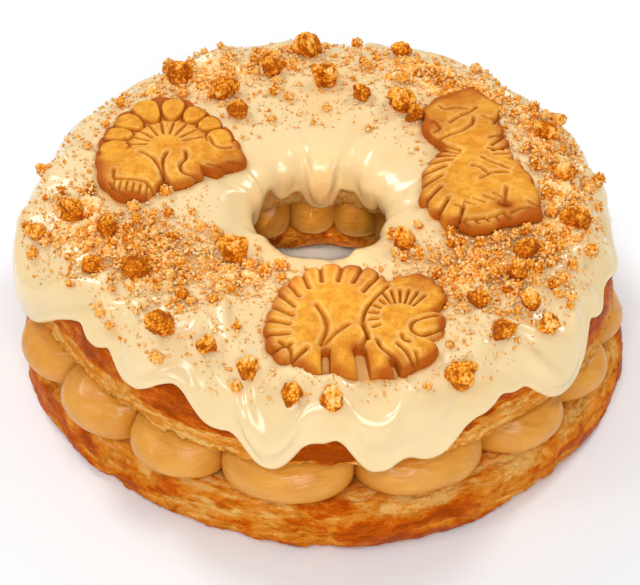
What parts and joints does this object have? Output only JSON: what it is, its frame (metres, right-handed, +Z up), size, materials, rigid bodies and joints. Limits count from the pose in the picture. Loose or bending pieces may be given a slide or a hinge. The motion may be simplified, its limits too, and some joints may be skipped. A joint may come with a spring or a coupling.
{
  "type": "king cake",
  "caption": "Ring-shaped cake split and filled with piped cream, iced on top, with animal biscuits and biscuit crumble.",
  "frame": {"origin": "middle of the flat underside, midway between the outermost points", "axes": "+Z up, +X to the right and +Y to the back when the horned biscuit is at the front"},
  "size_m": [0.2478, 0.2408, 0.0943],
  "materials": {
    "crust": "baked, egg-washed bread crust, half gloss",
    "cream": "smooth piped cream, satin",
    "icing": "thick poured icing, glossy",
    "biscuit": "dry baked biscuit, matt",
    "crumble": "dry biscuit crumble, matt"
  },
  "bodies": {
    "root": {"bun_base": "crust", "cream_ring": "cream", "bun_top": "crust", "icing": "icing", "biscuit_horned": "biscuit", "biscuit_plated": "biscuit", "biscuit_crested": "biscuit", "crumb_lump_01": "crumble", "crumb_lump_02": "crumble", "crumb_lump_03": "crumble", "crumb_lump_04": "crumble", "crumb_lump_05": "crumble", "crumb_lump_06": "crumble", "crumb_lump_07": "crumble", "crumb_lump_08": "crumble", "crumb_lump_09": "crumble", "crumb_lump_10": "crumble", "crumb_lump_11": "crumble", "crumb_lump_12": "crumble", "crumb_lump_13": "crumble", "crumb_lump_14": "crumble", "crumb_lump_15": "crumble", "crumb_lump_16": "crumble", "crumb_lump_17": "crumble", "crumb_lump_18": "crumble", "crumb_lump_19": "crumble", "crumb_lump_20": "crumble", "crumb_lump_21": "crumble", "crumb_lump_22": "crumble", "crumb_lump_23": "crumble", "crumb_lump_24": "crumble", "crumb_lump_25": "crumble", "crumb_lump_26": "crumble", "crumb_lump_27": "crumble", "crumb_lump_28": "crumble", "crumb_lump_29": "crumble", "crumb_lump_30": "crumble", "crumb_lump_31": "crumble", "crumb_lump_32": "crumble"}
  },
  "joints": []
}
